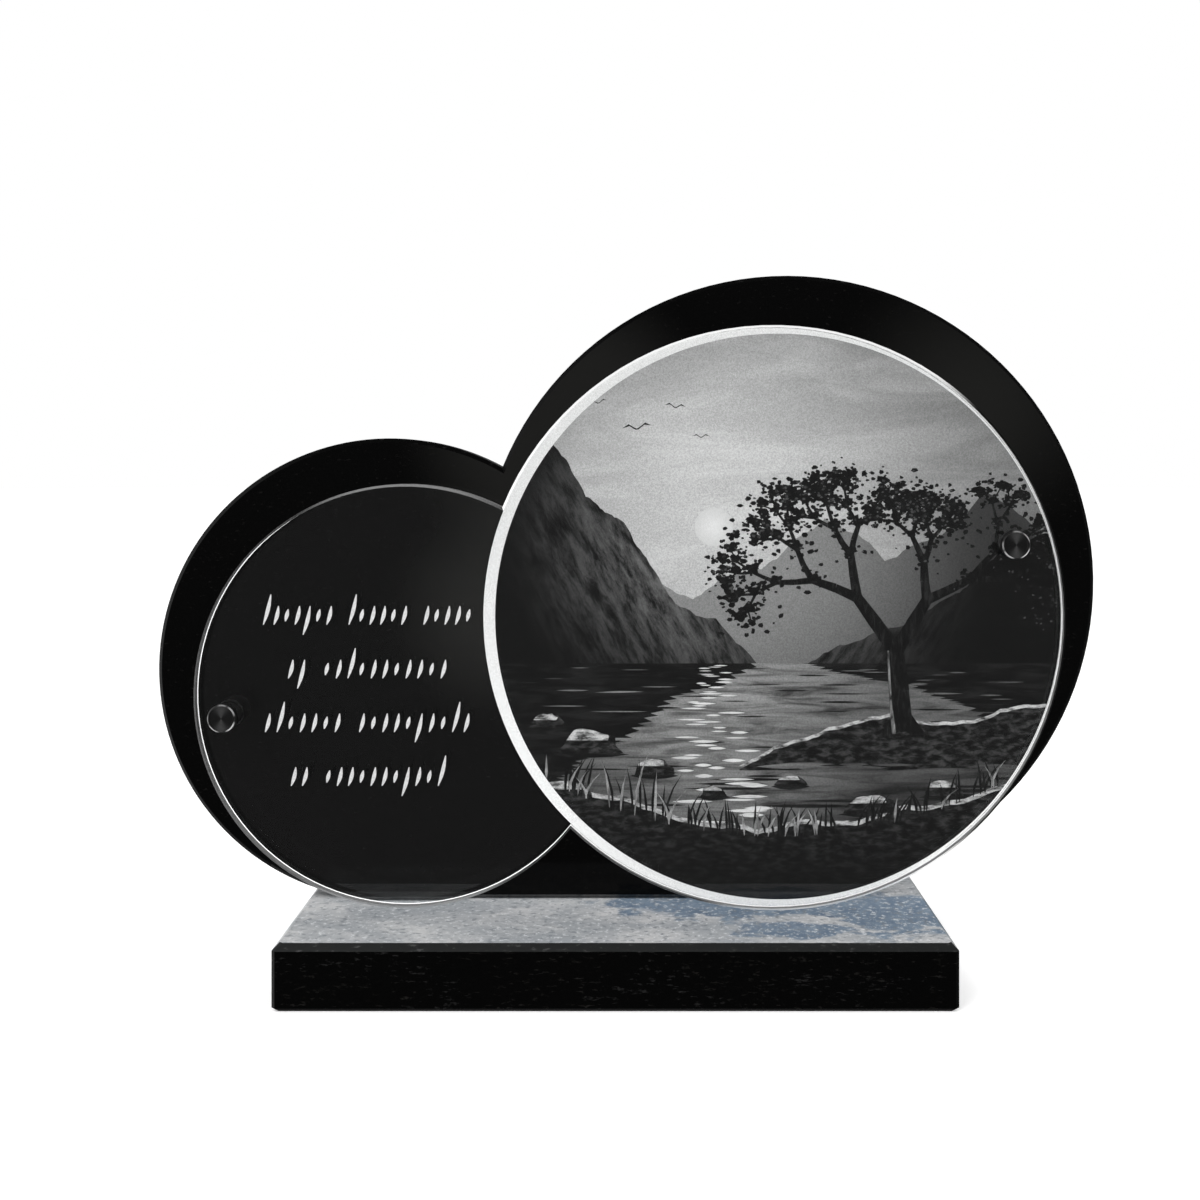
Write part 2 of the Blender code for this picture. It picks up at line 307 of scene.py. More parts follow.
    def sand(self, scale, detail, roughness):
        """The fine grain of ground or blasted glass, raised a little."""
        grain = self.noise(self.mapped((1, 1, 1)), scale, detail=detail, roughness=roughness)
        self.bump(grain, 0.00003, 0.4)
        return grain


def granite(name, body, fleck, roughness, specular):
    """Near-black polished stone with fine flecks, drawn out along X."""
    finish = Finish(name, roughness, specular)
    grain = finish.noise(finish.mapped((260, 420, 900)), 1.0, detail=3.0, roughness=0.6)
    patches = finish.noise(finish.mapped((30, 40, 60)), 1.0, detail=2.0)
    density = finish.span(patches, 0.38, 0.62, 0.35, 1.0)
    flecks = finish.maths("MULTIPLY", finish.span(grain, 0.58, 0.74), density)
    warm = finish.mix(finish.span(patches, 0.45, 0.6), colour(*fleck), colour(fleck[0]))
    finish.paint(finish.mix(flecks, colour(*body), warm))
    finish.rough(finish.span(grain, 0.3, 0.7, roughness, roughness + 0.05))
    return finish.material


def panel_edge_granite():
    """The polished chamfer above the base, which mirrors the light top in front of it."""
    finish = Finish("panel_edge_granite", 0.16, 0.8)
    grain = finish.noise(finish.mapped((420, 420, 700)), 1.0, detail=3.0, roughness=0.6)
    finish.paint(finish.mix(finish.span(grain, 0.3, 0.7), colour(8), colour(18)))
    finish.rough(finish.span(grain, 0.3, 0.7, 0.14, 0.20))
    return finish.material


def panel_granite():
    """The panel's polished stone, with three soft patches of painted sheen."""
    finish = Finish("panel_granite", 0.10, 0.10)
    grain = finish.noise(finish.mapped((420, 420, 700)), 1.0, detail=3.0, roughness=0.6)
    sheen = 0.0
    for x, z, inner, outer, strength in PANEL_SHEENS:
        near = finish.span(finish.distance_to((x, PANEL_FRONT, z)), inner, outer, strength, 0.0)
        sheen = finish.maths("ADD", near, sheen)
    # Painted sheen: the stone's near-black is lighter in the soft patches.
    body = finish.mix(sheen, colour(4), colour(27, 27, 26))
    finish.paint(finish.mix(finish.span(grain, 0.60, 0.78, 0.0, 0.5), body, colour(26, 25, 24)))
    finish.rough(finish.span(grain, 0.3, 0.7, 0.08, 0.13))
    return finish.material


def sky_reflection_top():
    """The base's top: a painted reflection of a cloudy sky, light grey clouds with blue sky in patches
    between them, and bright specks, under a polish.
    """
    finish = Finish("base_top_sky_reflection", 0.32, 0.25)
    clouds = finish.noise(finish.mapped((16, 30, 1)), 1.0, detail=7.0, roughness=0.62, distortion=0.6)
    soft = finish.noise(finish.mapped((110, 90, 1)), 1.0, detail=5.0, roughness=0.7)
    torn = finish.noise(finish.mapped((46, 60, 1)), 1.0, detail=7.0, roughness=0.6, distortion=0.5)
    specks = finish.noise(finish.mapped((330, 360, 1)), 1.0, detail=4.0, roughness=0.72)
    pits = finish.noise(finish.mapped((300, 340, 1), (3, 5, 0)), 1.0, detail=4.0)
    # Painted reflection of a cloudy sky: light grey clouds, with blue sky in the patches below.
    grey = finish.mix(finish.span(clouds, 0.36, 0.62), colour(160, 164, 168), colour(206))
    grey = finish.mix(finish.span(soft, 0.35, 0.70, 0.0, 0.6), grey, colour(160, 164, 168))
    reach = None
    for x, y, width, depth in BLUE_SKY_REFLECTIONS:
        moved = finish.mapped((1 / width, 1 / depth, 0.0), (-x / width, -y / depth, 0.0))
        near = finish.maths("SUBTRACT", 1.0, finish.length_of(moved))
        reach = near if reach is None else finish.maths("MAXIMUM", reach, near)
    tears = finish.maths("MULTIPLY", finish.maths("SUBTRACT", torn, 0.5), 2.6)
    gate = finish.maths("ADD", reach, tears)
    reflected_blue = finish.mix(finish.span(soft, 0.35, 0.7), colour(104, 121, 140), colour(130, 145, 160))
    tone = finish.mix(finish.span(gate, -0.10, 0.20), grey, reflected_blue)
    tone = finish.mix(finish.span(pits, 0.53, 0.66, 0.0, 0.75), tone, colour(122, 128, 134))
    # Painted light: the top is lighter beside the panel, to make up for the shade the panel casts there.
    off_panel = finish.maths("ABSOLUTE", finish.axis("Y"))
    painted_light = finish.span(off_panel, PAINTED_LIGHT_END, PAINTED_LIGHT_FULL, 1.0, PAINTED_LIGHT_FACTOR)
    tone = finish.mix(1.0, tone, painted_light, blend="MULTIPLY")
    finish.paint(finish.mix(finish.span(specks, 0.52, 0.68, 0.0, 0.85), tone, colour(230, 232, 234)))
    finish.rough(finish.span(soft, 0.3, 0.7, 0.28, 0.40))
    return finish.material


def clear_glass():
    """Clear glass with plain values, and a faint green in its depth."""
    finish = Finish("clear_glass", 0.0, 0.5)
    finish.shader.inputs["Base Color"].default_value = (0.974, 0.985, 0.981, 1.0)
    finish.shader.inputs["Transmission Weight"].default_value = 1.0
    finish.shader.inputs["IOR"].default_value = 1.5
    return finish.material


def ground_edge(name, dark, light, top, bottom, start):
    """A ground edge of the glass, with painted light from the lower left, and a painted grey of light, given
    for each edge, at the top and at the bottom.
    """
    finish = Finish(name, 0.6, 0.3)
    toward_light = finish.facing((-0.55, 0.0, -0.83))
    upward = finish.facing((0.0, 0.0, 1.0))
    grain = finish.sand(1800.0, 2.0, 0.7)
    # Painted light and shade: lighter where the edge faces the lower left, and the given painted greys where
    # it faces up or down.
    tone = finish.mix(finish.span(toward_light, -0.1, 1.0), colour(dark), colour(light))
    tone = finish.mix(finish.span(upward, start, 0.70), tone, colour(top))
    tone = finish.mix(finish.span(upward, -start, -0.70), tone, colour(bottom))
    finish.paint(finish.mix(finish.span(grain, 0.32, 0.68, 0.0, 0.06), tone, colour(255)))
    return finish.material


def ring_edge(name):
    """The bevel round the picture: white, painted a little greyer where it faces up, where more light falls
    on it, with painted shade, grey where it faces down to the left and black where it faces right.
    """
    finish = Finish(name, 0.6, 0.3)
    away = finish.facing((-0.71, 0.0, -0.71))
    upward = finish.facing((0.0, 0.0, 1.0))
    grain = finish.sand(1800.0, 2.0, 0.7)
    # Painted light and shade by the way the bevel faces: greyer facing up, grey facing down to the left,
    # black facing right.
    tone = finish.mix(finish.span(upward, 0.0, 0.6), colour(246), colour(206))
    tone = finish.mix(finish.span(away, 0.54, 0.62), tone, colour(54))
    tone = finish.mix(finish.span(grain, 0.32, 0.68, 0.0, 0.10), tone, colour(255))
    finish.paint(finish.mix(finish.span(finish.facing((1.0, 0.0, 0.0)), 0.38, 0.50), tone, colour(8)))
    return finish.material


def back_edge(name):
    """The fine bevel behind the small lobe: a white line on its inner half, which glows as painted light,
    and grey outside.
    """
    finish = Finish(name, 0.7, 0.3)
    grain = finish.sand(1500.0, 3.0, 0.8)
    white = finish.mix(finish.span(grain, 0.32, 0.68), colour(236), colour(250))
    inner = finish.span(finish.axis("Y"), GLASS_BACK - LINE_START, GLASS_BACK - LINE_FULL)
    finish.paint(finish.mix(inner, colour(60), white))
    # Painted light: the white line glows, though it is no lamp.
    finish.feed(finish.shader.inputs["Emission Color"], finish.mix(inner, colour(0), colour(255)))
    finish.shader.inputs["Emission Strength"].default_value = LINE_GLOW
    return finish.material


def ring_glass(name):
    """White blasted glass, a little greyer towards the top, where more light falls on it."""
    finish = Finish(name, 0.7, 0.3)
    grain = finish.sand(1500.0, 3.0, 0.8)
    grit = finish.span(grain, 0.32, 0.68)
    low = finish.mix(grit, colour(RING_LOW[0]), colour(RING_LOW[1]))
    high = finish.mix(grit, colour(RING_HIGH[0]), colour(RING_HIGH[1]))
    rise = finish.span(finish.axis("Z"), LOBE_Z - LOBE_RADIUS, LOBE_Z + 0.6 * LOBE_RADIUS)
    finish.paint(finish.mix(rise, low, high))
    return finish.material


def frosted_glass(name, dark, light):
    """Glass that is blasted white, with a fine sandy grain."""
    finish = Finish(name, 0.7, 0.3)
    grain = finish.sand(1500.0, 3.0, 0.8)
    finish.paint(finish.mix(finish.span(grain, 0.32, 0.68), colour(dark), colour(light)))
    return finish.material


def across_cap(finish, centre):
    """The distances from a cap's axis: sideways, upwards and the whole one, which is never nought."""
    across = finish.maths("SUBTRACT", finish.axis("X"), centre.x)
    upward = finish.maths("SUBTRACT", finish.axis("Z"), centre.z)
    across_square = finish.maths("MULTIPLY", across, across)
    upward_square = finish.maths("MULTIPLY", upward, upward)
    square = finish.maths("ADD", across_square, upward_square)
    return across, upward, finish.maths("SQRT", finish.maths("ADD", square, 1e-9))


def spun_metal(name, centre):
    """Black metal turned on a lathe: fine rings, and a soft fan of light above and below the middle."""
    finish = Finish(name, 0.38, 0.5, metallic=0.6)
    _, upward, reach = across_cap(finish, centre)
    lean = finish.maths("DIVIDE", upward, reach)
    fan = finish.maths("POWER", finish.maths("MULTIPLY", lean, lean), 3.0)
    rings = finish.noise(finish.mapped((1, 1, 1)), 1200.0, detail=1.0)
    turning = finish.maths("SINE", finish.maths("MULTIPLY", reach, CAP_TURNING))
    tone = finish.mix(fan, colour(26), colour(78))
    finish.paint(finish.mix(finish.span(rings, 0.3, 0.7, 0.0, 0.25), tone, colour(40)))
    finish.bump(turning, 0.00001, 0.3)
    return finish.material


def bright_rim(name, centre):
    """The cap's polished edge, with the arcs of light that a studio throws on it."""
    finish = Finish(name, 0.30, 0.5)
    across, upward, reach = across_cap(finish, centre)
    light = None
    for degrees, narrow, strength in RIM_ARCS:
        turn = math.radians(degrees)
        across_share = finish.maths("MULTIPLY", across, math.cos(turn))
        upward_share = finish.maths("MULTIPLY", upward, math.sin(turn))
        along = finish.maths("ADD", across_share, upward_share)
        arc = finish.span(finish.maths("DIVIDE", along, reach), narrow, 1.0, 0.0, strength)
        light = arc if light is None else finish.maths("MAXIMUM", light, arc)
    grain = finish.noise(finish.mapped((1, 1, 1)), 1500.0, detail=2.0)
    tone = finish.mix(finish.span(grain, 0.3, 0.7), colour(18), colour(30))
    finish.paint(finish.mix(light, tone, colour(214)))
    return finish.material


def black_metal():
    """The anodised sides of the caps and barrels, with fine turning marks."""
    finish = Finish("black_anodised_metal", 0.32, 0.5, metallic=0.6)
    grain = finish.noise(finish.mapped((300, 2400, 300)), 1.0, detail=2.0)
    finish.paint(finish.mix(finish.span(grain, 0.3, 0.7), colour(22), colour(48)))
    finish.rough(finish.span(grain, 0.3, 0.7, 0.28, 0.40))
    return finish.material


def black_seal():
    """Matt black rubber."""
    finish = Finish("black_seal", 0.75, 0.3)
    grain = finish.noise(finish.mapped((1, 1, 1)), 3000.0, detail=2.0)
    finish.paint(finish.mix(grain, colour(8), colour(20)))
    finish.bump(grain, 0.00003, 0.3)
    return finish.material


def etched(name, rule, dark, light, grain_share=0.26):
    """A tone of the picture: two greys mixed by a rule, under the fine grain of an etching."""
    finish = Finish(name, 0.6, 0.2)
    tone = finish.mix(rule(finish), colour(dark), colour(light))
    grain = finish.noise(finish.mapped((1, 1, 1)), 1300.0, detail=3.0, roughness=0.8)
    darkest = PRINT_LEVEL * (1.0 - grain_share)
    lightest = PRINT_LEVEL * (1.0 + grain_share)
    speckle = finish.span(grain, 0.25, 0.75, darkest, lightest)
    finish.paint(finish.mix(1.0, tone, speckle, blend="MULTIPLY"))
    return finish.material


def in_frame(point):
    """A point of the picture, in millimetres from its middle, as a place in the model."""
    return Vector((PICTURE_X + point[0] * MM, GLASS_BACK, LOBE_Z + point[1] * MM))


def by_sun(near, far):
    """A rule that falls from 1 near the sun to 0 far from it."""
    def rule(finish):
        return finish.span(finish.distance_to(in_frame(SUN)), near * MM, far * MM, 1.0, 0.0)
    return rule


def by_side(middle, near, far):
    """A rule that falls from 1 to 0 on both sides of an upright line."""
    def rule(finish):
        across = finish.maths("SUBTRACT", finish.axis("X"), PICTURE_X + middle * MM)
        return finish.span(finish.maths("ABSOLUTE", across), near * MM, far * MM, 1.0, 0.0)
    return rule


def by_height(low, high):
    """A rule that runs from 0 to 1 between two heights of the picture."""
    def rule(finish):
        return finish.span(finish.axis("Z"), LOBE_Z + low * MM, LOBE_Z + high * MM)
    return rule


def by_streaks(scale, low, high, detail=5.0, distortion=0.8):
    """A rule of drawn-out patches, such as ripples, slopes and bark."""
    def rule(finish):
        streaks = finish.noise(finish.mapped(scale), 1.0, detail, 0.6, distortion)
        return finish.span(streaks, low, high)
    return rule


def by_ridges(turn, across, along, low, high):
    """A rule of rugged streaks that run down a slope, turned from upright."""
    def rule(finish):
        ridges = finish.noise(finish.slanted(turn, (across, 1, along)), 1.0, 9.0, 0.74, 0.2)
        return finish.span(ridges, low, high)
    return rule


def blend(first, second, share):
    """A rule that takes a share of the second rule and the rest of the first."""
    def rule(finish):
        rest = finish.maths("MULTIPLY", first(finish), 1.0 - share)
        return finish.maths("ADD", rest, finish.maths("MULTIPLY", second(finish), share))
    return rule


def both(first, second):
    """The product of two rules."""
    def rule(finish):
        return finish.maths("MULTIPLY", first(finish), second(finish))
    return rule


def circle(centre, radius, steps):
    """The points of a round outline."""
    turns = [2 * math.pi * step / steps for step in range(steps)]
    return [(centre[0] + radius * math.cos(turn), centre[1] + radius * math.sin(turn)) for turn in turns]


def anticlockwise(outline):
    """The outline, turned round if it runs clockwise."""
    sides = zip(outline, outline[1:] + outline[:1])
    area = sum(here.x * after.y - after.x * here.y for here, after in sides)
    return outline if area > 0 else outline[::-1]


def rugged(peaks, roughness, dice):
    """A line through the peaks, broken by midpoints that wander less and less."""
    line = [Vector(peak) for peak in peaks]
    for _ in range(FRACTURES):
        finer = [line[0]]
        for start, end in zip(line, line[1:]):
            sway = dice.uniform(-1, 1) * roughness * (end - start).length
            finer += [(start + end) / 2 + Vector((0.0, sway)), end]
        line = finer
    return line


def ground(line, floor):
    """A closed outline from a skyline down to a level floor."""
    return line + [Vector((line[-1].x, floor)), Vector((line[0].x, floor))]


def mirrored(line):
    """A skyline turned over in the water, pressed flat and broken into level steps."""
    turned = []
    for index, point in enumerate(line):
        level = SHORE - MIRROR_SHARE * (point.y - SHORE)
        sway = MIRROR_STEP if index % 2 else -MIRROR_STEP
        turned.append(Vector((point.x + sway, level)))
    return ground(turned, SHORE)


def wedge(top, length, lean, spread, dice):
    """A lit face of a slope: it starts at a point, opens as it falls and frays out."""
    left = []
    right = []
    sway = 0.0
    for share in (0.12, 0.24, 0.38, 0.5, 0.62, 0.76, 0.88, 1.0):
        sway += dice.uniform(-1, 1) * spread * 0.22
        middle = top + length * share * Vector((math.sin(lean), -math.cos(lean))) + Vector((sway, 0.0))
        half = spread * share * (1.2 - share)
        left.append(middle - Vector((half * dice.uniform(0.3, 1.6), dice.uniform(-1.5, 1.5))))
        right.append(middle + Vector((half * dice.uniform(0.1, 1.0), dice.uniform(-1.5, 1.5))))
    return [top] + right + left[::-1]


def slopes(line, every, lean, length, spread, dice):
    """Lit faces along a skyline, and shorter ones lower down its slope."""
    faces = []
    for point in line[::every]:
        height = point.y - SHORE
        for start, reach in ((0.0, 0.75), (0.3, 0.6), (0.62, 0.35)):
            top = point + height * start * Vector((math.sin(lean) + dice.uniform(-0.25, 0.25), -1.0))
            long = height * reach * length * dice.uniform(0.6, 1.0)
            if long > 2:
                tilt = lean * dice.uniform(0.6, 1.5)
                width = spread * dice.uniform(0.5, 1.1)
                faces.append(wedge(top, long, tilt, width, dice))
    return faces


def blob(centre, radius, steps, dice, flatness=0.75):
    """A small leafy clump with an uneven edge."""
    outline = []
    for step in range(steps):
        turn = 2 * math.pi * step / steps
        reach = radius * dice.uniform(0.55, 1.25)
        outline.append(centre + Vector((reach * math.cos(turn), flatness * reach * math.sin(turn))))
    return outline


def limb(start, end, start_width, end_width):
    """A tapered branch."""
    along = (end - start).normalized()
    side = Vector((-along.y, along.x))
    return [start + side * start_width / 2, start - side * start_width / 2,
            end - side * end_width / 2, end + side * end_width / 2]


def grow(start, heading, length, width, level, dice, limbs, tips):
    """Branches that fork and thin out; the ends are kept for the leaves."""
    bend = heading + math.radians(dice.uniform(-9, 9))
    middle = start + length * 0.5 * Vector((math.sin(heading), math.cos(heading)))
    end = middle + length * 0.5 * Vector((math.sin(bend), math.cos(bend)))
    limbs.append(limb(start, middle, width, width * 0.84))
    limbs.append(limb(middle, end, width * 0.88, width * 0.70))
    if level == 0:
        tips.append(end)
        return
    for turn in (-1, 1):
        fork = heading + turn * math.radians(dice.uniform(14, 40))
        fork += math.radians(3.0) * math.copysign(1, fork)
        grow(end, fork, length * dice.uniform(0.62, 0.82), width * 0.66, level - 1, dice, limbs, tips)
    if level < TREE_FORKS - 1:
        tips.append(end)


def tree():
    """The outlines of the wood, of the leaves and of the leaves that catch the light."""
    dice = random.Random(11)
    limbs = []
    tips = []
    grow(TREE_FOOT, TREE_LEAN, TRUNK_LENGTH, TRUNK_WIDTH, TREE_FORKS, dice, limbs, tips)
    for turn, reach in ((-62, 13), (-40, 8), (44, 9), (66, 14)):
        root = TREE_FOOT + reach * Vector((math.sin(math.radians(turn)), -0.28))
        limbs.append(limb(TREE_FOOT + Vector((0.0, 7.0)), root, TRUNK_WIDTH * 0.8, 0.8))
    leaves = []
    lit = []
    for tip in tips:
        leaves.append(blob(tip + Vector((0.0, 1.5)), dice.uniform(2.4, 4.2), 16, dice))
        for _ in range(LEAVES_PER_TIP):
            place = tip + Vector((dice.gauss(0, 4.8), dice.gauss(1.5, 3.6)))
            leaves.append(blob(place, dice.uniform(0.6, 1.7), 6, dice))
            toward_sun = (SUN - place).normalized()
            if dice.random() < LIT_SHARE:
                spot = place + dice.uniform(0.5, 2.0) * toward_sun
                lit.append(blob(spot, dice.uniform(0.5, 1.0), 5, dice))
    return limbs, leaves, lit


def sliver(centre, half_width, half_height):
    """A flat ripple with pointed ends."""
    shares = (-1.0, -0.5, 0.0, 0.5, 1.0)
    top = [centre + Vector((share * half_width, half_height * (1 - share ** 2))) for share in shares]
    bottom = [centre + Vector((share * half_width, -half_height * (1 - share ** 2)))
              for share in shares[-2:0:-1]]
    return top + bottom


def ripples(count, top, bottom, middle, spread, half_width, half_height, dice):
    """Ripples that grow longer and lie further apart towards the viewer."""
    outlines = []
    for index in range(count):
        share = ((index + dice.random()) / count) ** 1.25
        level = top + (bottom - top) * share
        aside = dice.uniform(-1, 1) * (spread[0] + (spread[1] - spread[0]) * share)
        size = 0.45 + 0.9 * share
        wide = half_width * size * dice.uniform(0.5, 1.2)
        high = half_height * size * dice.uniform(0.6, 1.2)
        outlines.append(sliver(Vector((middle + aside, level)), wide, high))
    return outlines


def blade(foot, height, bend, width):
    """A blade of grass that bends as it rises."""
    shares = (0.0, 0.35, 0.7, 1.0)
    spine = [foot + Vector((bend * share ** 2, height * share)) for share in shares]
    half = [width / 2 * thickness for thickness in (0.2, 1.0, 0.6)]
    left = [point - Vector((reach, 0.0)) for point, reach in zip(spine, half)]
    right = [point + Vector((reach, 0.0)) for point, reach in zip(spine, half)]
    return left + [spine[-1]] + right[::-1]


def bird(centre, span, tilt):
    """A gull far off: two bent wings."""
    above = ((-1.0, 0.10), (-0.55, 0.34), (-0.12, 0.04), (0.0, 0.0), (0.12, 0.04), (0.55, 0.34), (1.0, 0.10))
    below = ((0.5, 0.20), (0.1, -0.08), (-0.1, -0.08), (-0.5, 0.20))
    return [centre + span * Vector((x, z + tilt * x)) for x, z in above + below]


def boulder(centre, width, height, dice):
    """A stone, flat below."""
    steps = 9
    outline = []
    for step in range(steps + 1):
        turn = math.pi * step / steps
        reach = dice.uniform(0.85, 1.1)
        corner = Vector((width / 2 * math.cos(turn) * reach, height * math.sin(turn) * reach))
        outline.append(centre + corner)
    return outline


def grasses(count, low, high, dice):
    """Blades along the bank, taller in a clump of reeds on the left."""
    outlines = []
    for _ in range(count):
        x = dice.uniform(*GRASS_REACH)
        clump = max(0.0, 1 - abs(x - REEDS_X) / REEDS_REACH)
        tall = dice.uniform(low, high) + REEDS_RISE * clump * dice.random()
        foot = Vector((x, -103 + 0.0022 * x * x))
        outlines.append(blade(foot, tall + 5, dice.uniform(-6, 9), 1.3))
    return outlines


def trunk_streaks():
    """Two bright streaks up the sunny side of the trunk."""
    streaks = (((-3.6, -1.0), (-6.0, TRUNK_LENGTH * 0.5), 1.8, 1.2),
               ((-5.6, TRUNK_LENGTH * 0.45), (-6.4, TRUNK_LENGTH), 1.4, 0.8))
    return [limb(TREE_FOOT + Vector(low), TREE_FOOT + Vector(high), low_width, high_width)
            for low, high, low_width, high_width in streaks]


def picture_tones():
    """The materials of the picture by name, each a rule between a dark and a light grey."""
    left_rock = by_ridges(math.radians(27), 170, 44, 0.38, 0.64)
    right_rock = by_ridges(math.radians(-33), 170, 44, 0.38, 0.64)
    glow = blend(by_sun(6, 150), by_streaks((7, 1, 36), 0.40, 0.66, 6.0, 1.2), 0.22)
    mist = blend(by_height(58, SHORE), by_streaks((40, 1, 60), 0.35, 0.65), 0.3)
    shine = blend(by_side(SUN.x, 6, 84), by_height(-118, -30), 0.5)
    soil = by_streaks((180, 1, 420), 0.42, 0.72, 7.0, 0.3)
    tones = (
        ("sky", glow, 118, 214),
        ("sun", by_sun(0, 10), 214, 232, 0.08),
        ("far_hills", mist, 36, 108),
        ("far_slopes", by_sun(30, 130), 56, 138),
        ("left_hill", left_rock, 1, 20),
        ("right_hill", right_rock, 1, 18),
        ("left_slopes", both(left_rock, by_sun(20, 104)), 3, 108),
        ("right_slopes", both(right_rock, by_sun(20, 140)), 3, 96),
        ("water", both(by_streaks((26, 1, 240), 0.22, 0.66), shine), 8, 156),
        ("mirrored_hills", by_streaks((40, 1, 300), 0.42, 0.70), 3, 30),
        ("dark_ripple", by_streaks((60, 1, 300), 0.4, 0.7), 6, 36),
        ("glint", by_streaks((60, 1, 400), 0.2, 0.6), 176, 236, 0.08),
        ("land", both(soil, by_height(-138, -70)), 2, 72),
        ("lit_land", by_streaks((160, 1, 420), 0.34, 0.62, 6.0, 0.2), 50, 208),
        ("bark", by_streaks((520, 1, 120), 0.46, 0.72), 3, 40),
        ("lit_bark", by_streaks((600, 1, 150), 0.36, 0.66), 30, 140),
        ("leaf", by_streaks((420, 1, 520), 0.50, 0.74), 3, 32),
        ("lit_leaf", by_streaks((500, 1, 500), 0.3, 0.7), 24, 88),
        ("lit_reed", by_streaks((300, 1, 100), 0.3, 0.7), 80, 178),
    )
    return {name: etched("print_" + name, *tone) for name, *tone in tones}


def picture_layers():
    """The picture from back to front: a name, a tone, its outlines and the layer they keep within."""
    dice = random.Random(5)
    tone = picture_tones()
    radius = PICTURE_RADIUS / MM
    floor = -radius - 10
    far_hill = rugged(FAR_PEAKS, 0.11, dice)
    left_hill = rugged(LEFT_PEAKS, 0.15, dice)
    right_hill = rugged(RIGHT_PEAKS, 0.12, dice)
    bank = rugged(BANK_PEAKS, 0.07, dice)
    spit = rugged(SPIT_PEAKS, 0.07, dice)
    bank_light = [point + Vector((0.0, 2.2)) for point in bank]
    spit_light = [point + Vector((0.0, 1.6)) for point in spit]
    limbs, leaves, lit = tree()
    rocks = [boulder(Vector((x, z)), width, height, dice) for x, z, width, height in STONES]
    tops = [boulder(Vector((x - width * 0.06, z + height * 0.50)), width * 0.74, height * 0.46, dice)
            for x, z, width, height in STONES]
    shades = [sliver(Vector((x, z - 0.6)), width * 0.62, 1.6) for x, z, width, height in STONES]
    gulls = [bird(Vector((x, z)), span, tilt) for x, z, span, tilt in GULLS]
    lake = [(-radius, SHORE), (-radius, floor), (radius, floor), (radius, SHORE)]
    return [
        ("sky", tone["sky"], [circle((0, 0), radius, DISC_STEPS)], None),
        ("sun", tone["sun"], [circle(SUN, SUN_RADIUS, 48)], None),
        ("gulls", tone["leaf"], gulls, None),
        ("far hills", tone["far_hills"], [ground(far_hill, SHORE)], None),
        ("far slopes", tone["far_slopes"], slopes(far_hill, 7, -0.5, 0.8, 7.0, dice), "far hills"),
        ("left hill", tone["left_hill"], [ground(left_hill, SHORE)], None),
        ("left slopes", tone["left_slopes"], slopes(left_hill, 7, 0.46, 0.95, 9.0, dice), "left hill"),
        ("right hill", tone["right_hill"], [ground(right_hill, SHORE)], None),
        ("right slopes", tone["right_slopes"], slopes(right_hill, 7, -0.55, 0.95, 9.0, dice), "right hill"),
        ("water", tone["water"], [lake], None),
        ("mirrored", tone["mirrored_hills"], [mirrored(left_hill), mirrored(right_hill)], "water"),
        ("water lines", tone["water"],
         ripples(60, SHORE - 2, -62, 0, (112, 100), 13, 0.45, dice), "mirrored"),
        ("dark ripples", tone["dark_ripple"],
         ripples(70, SHORE - 1, -104, 0, (118, 104), 17, 0.7, dice), "water"),
        ("glints", tone["glint"], ripples(56, SHORE - 1, -100, SUN.x, (5, 26), 8, 0.7, dice), "water"),
        ("lit spit", tone["lit_land"], [ground(spit_light, -70)], None),
        ("spit", tone["land"], [ground(spit, -72)], None),
        ("spit shore", tone["water"], ripples(20, -69, -76, 66, (70, 66), 26, 1.8, dice), "spit"),
        ("shades", tone["dark_ripple"], shades, "water"),
        ("rocks", tone["land"], rocks[:WET_STONES], None),
        ("rock tops", tone["lit_land"], tops[:WET_STONES], "rocks"),
        ("lit bank", tone["lit_land"], [ground(bank_light, floor)], None),
        ("bank", tone["land"], [ground(bank, floor)] + rocks[WET_STONES:], None),
        ("bank stones", tone["lit_land"], tops[WET_STONES:], "bank"),
        ("grass", tone["bark"], grasses(90, 5, 13, dice), None),
        ("reeds", tone["lit_reed"], grasses(26, 4, 10, dice), None),
        ("trunk", tone["bark"], limbs, None),
        ("trunk light", tone["lit_bark"], trunk_streaks(), "trunk"),
        ("leaves", tone["leaf"], leaves, None),
        ("lit leaves", tone["lit_leaf"], lit, "leaves"),
    ]


def film_regions():
    """The film as points and triangles, with the material of the topmost shape over each triangle."""
    rim = (-RING_OFFSET / MM, 0.0)
    disc = circle(rim, (LOBE_RADIUS - FILM_MARGIN) / MM, DISC_STEPS)
    layers = [("ring", ring_glass("frosted_ring"), [disc], None)] + picture_layers()
    film_disc = 0
    picture_disc = 1
    members = {name: set() for name, _, _, _ in layers}
    points = []
    faces = []
    owners = []
    hosts = []
    materials = []
    for name, material, outlines, host in layers:
        if material not in materials:
            materials.append(material)
        for outline in outlines:
            members[name].add(len(faces))
            faces.append(list(range(len(points), len(points) + len(outline))))
            points += anticlockwise([Vector(point) for point in outline])
            owners.append(materials.index(material))
            hosts.append(members[host] if host else None)
    corners, _, triangles, _, _, over = delaunay_2d_cdt(points, [], faces, 1, SAME_POINT)
    regions = []
    for triangle, shapes in zip(triangles, over):
        if film_disc not in shapes:
            continue
        held = [shape for shape in shapes if hosts[shape] is None or hosts[shape].intersection(shapes)]
        top = max(held) if picture_disc in shapes else film_disc
        regions.append((triangle, owners[top]))
    return corners, regions, materials


